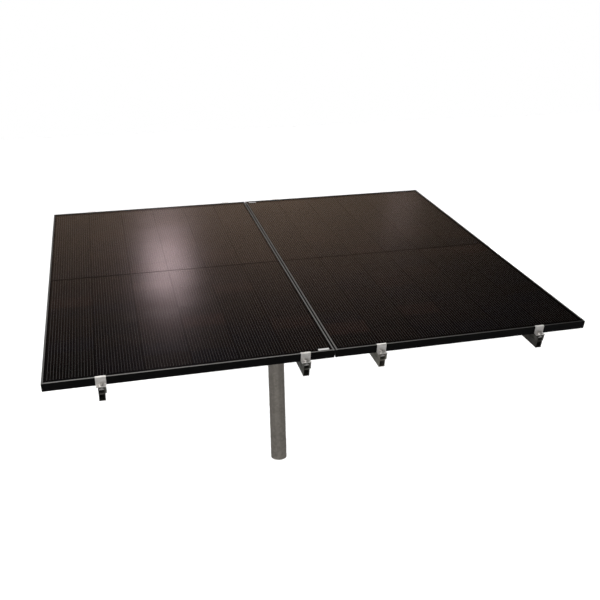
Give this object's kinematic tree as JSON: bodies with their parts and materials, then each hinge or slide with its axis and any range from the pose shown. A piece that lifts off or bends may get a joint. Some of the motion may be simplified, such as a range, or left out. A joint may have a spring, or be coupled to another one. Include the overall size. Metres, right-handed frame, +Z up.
{
  "type": "mast-mounted solar panel array",
  "caption": "Framed all-black solar modules side by side on rails, on a beam that tilts and swivels on the top of a round steel mast.",
  "frame": {"origin": "centre of the mast's foot, at the ground", "axes": "+Z up the mast, +X along the beam and across both modules, +Y towards the raised edge of the modules"},
  "size_m": [2.273, 1.7335, 1.3908],
  "materials": {
    "solar_glass": "anti-reflective solar glass over black cells",
    "clear_film": "clear encapsulant film",
    "black_film": "black encapsulant film",
    "solar_cell": "black monocrystalline silicon half cells",
    "black_backsheet": "matt black laminated sheet",
    "seal": "black silicone",
    "black_anodised_aluminium": "satin black anodised extrusion",
    "corner_key_aluminium": "mill finish",
    "label_paper": "blank white label",
    "black_plastic": "moulded black plastic, fine texture",
    "diode_epoxy": "moulded black epoxy",
    "rail_aluminium": "mill finish extrusion, weathered",
    "clamp_aluminium": "bright mill finish",
    "jaw_aluminium": "dull mill finish",
    "stainless_steel": "bright stainless steel",
    "galvanised_steel": "hot-dip galvanised, dull grey",
    "galvanised_mast": "hot-dip galvanised pipe, weathered",
    "zinc_fasteners": "hot-dip galvanised fasteners",
    "bearing_plastic": "natural bearing plastic"
  },
  "bodies": {
    "mast": {"mast": "galvanised_mast", "mast_pad": "bearing_plastic"},
    "head": {"head_sleeve": "galvanised_steel", "head_plate": "galvanised_steel", "left_ear": "galvanised_steel", "right_ear": "galvanised_steel", "set_screws": "zinc_fasteners", "set_screw_nuts": "zinc_fasteners", "pivot_washers": "zinc_fasteners", "pivot_bolt": "zinc_fasteners", "pivot_nut": "zinc_fasteners"},
    "array": {"beam": "galvanised_steel", "beam_bolts": "zinc_fasteners", "beam_end_caps": "black_plastic", "bypass_diodes": "diode_epoxy", "cable_glands": "black_plastic", "clamp_bolts": "stainless_steel", "clamp_jaws": "jaw_aluminium", "corner_keys": "corner_key_aluminium", "front_clamps": "clamp_aluminium", "junction_box_lids": "black_plastic", "junction_boxes": "black_plastic", "left_backsheet": "black_backsheet", "left_cells": "solar_cell", "left_cheek": "galvanised_steel", "left_edge_seal": "seal", "left_frame_back": "black_anodised_aluminium", "left_frame_front": "black_anodised_aluminium", "left_frame_left": "black_anodised_aluminium", "left_frame_right": "black_anodised_aluminium", "left_front_film": "clear_film", "left_glass": "solar_glass", "left_rear_film": "black_film", "module_labels": "label_paper", "pivot_bushes": "bearing_plastic", "rail_bolts": "zinc_fasteners", "rail_brackets": "galvanised_steel", "rail_inner_left": "rail_aluminium", "rail_inner_right": "rail_aluminium", "rail_outer_left": "rail_aluminium", "rail_outer_right": "rail_aluminium", "rear_clamps": "clamp_aluminium", "right_backsheet": "black_backsheet", "right_cells": "solar_cell", "right_cheek": "galvanised_steel", "right_edge_seal": "seal", "right_frame_back": "black_anodised_aluminium", "right_frame_front": "black_anodised_aluminium", "right_frame_left": "black_anodised_aluminium", "right_frame_right": "black_anodised_aluminium", "right_front_film": "clear_film", "right_glass": "solar_glass", "right_rear_film": "black_film", "saddle_bolts": "zinc_fasteners", "saddle_plate": "galvanised_steel", "slot_nuts": "clamp_aluminium", "structure_nuts": "zinc_fasteners", "tilt_lock_bolt": "zinc_fasteners", "tilt_lock_nut": "zinc_fasteners"}
  },
  "joints": [
    {"name": "swivel", "type": "hinge", "parent": "mast", "child": "head", "pos_m": [0, 0, 0.805], "axis": [0, 0, 1], "continuous": true},
    {"name": "tilt", "type": "hinge", "parent": "head", "child": "array", "pos_m": [0, 0, 0.975], "axis": [1, 0, 0], "range_deg": [-13, 47]}
  ]
}
